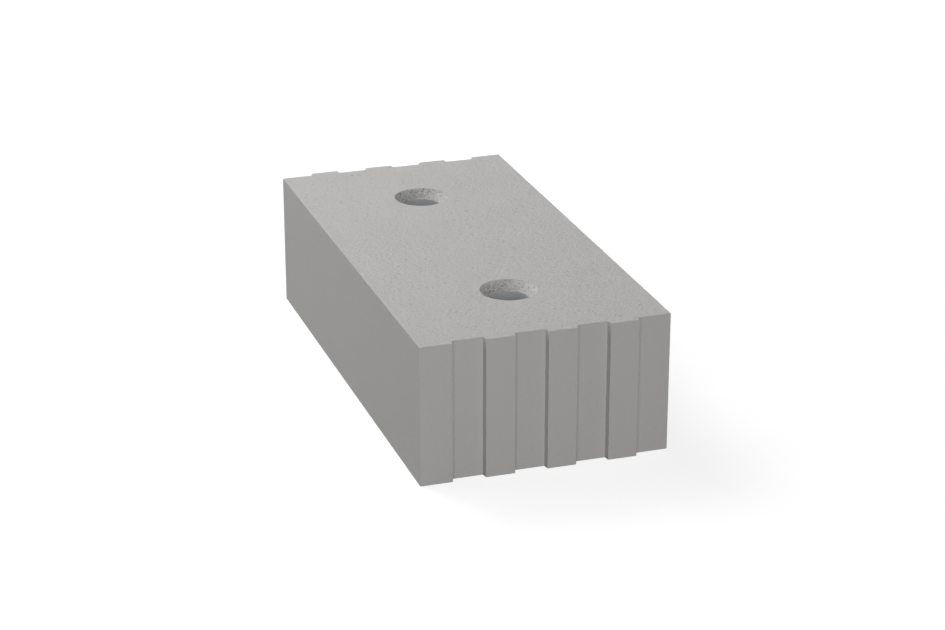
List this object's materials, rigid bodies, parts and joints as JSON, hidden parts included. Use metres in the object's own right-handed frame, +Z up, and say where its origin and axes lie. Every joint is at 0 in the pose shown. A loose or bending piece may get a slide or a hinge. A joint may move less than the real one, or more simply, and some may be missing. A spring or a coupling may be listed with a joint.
{
  "type": "calcium silicate block",
  "caption": "Solid calcium silicate block for thin-joint masonry, with tongued and grooved ends and blind grip holes in its top bed.",
  "frame": {"origin": "middle of the bottom bed face", "axes": "+X across the wall's thickness, +Y along the course, from the block's near end to its far end, +Z up, out of the grip holes"},
  "size_m": [0.214, 0.437, 0.12],
  "materials": {
    "calcium_silicate": "matte"
  },
  "bodies": {
    "root": {"calcium_silicate_block": "calcium_silicate"}
  },
  "joints": []
}
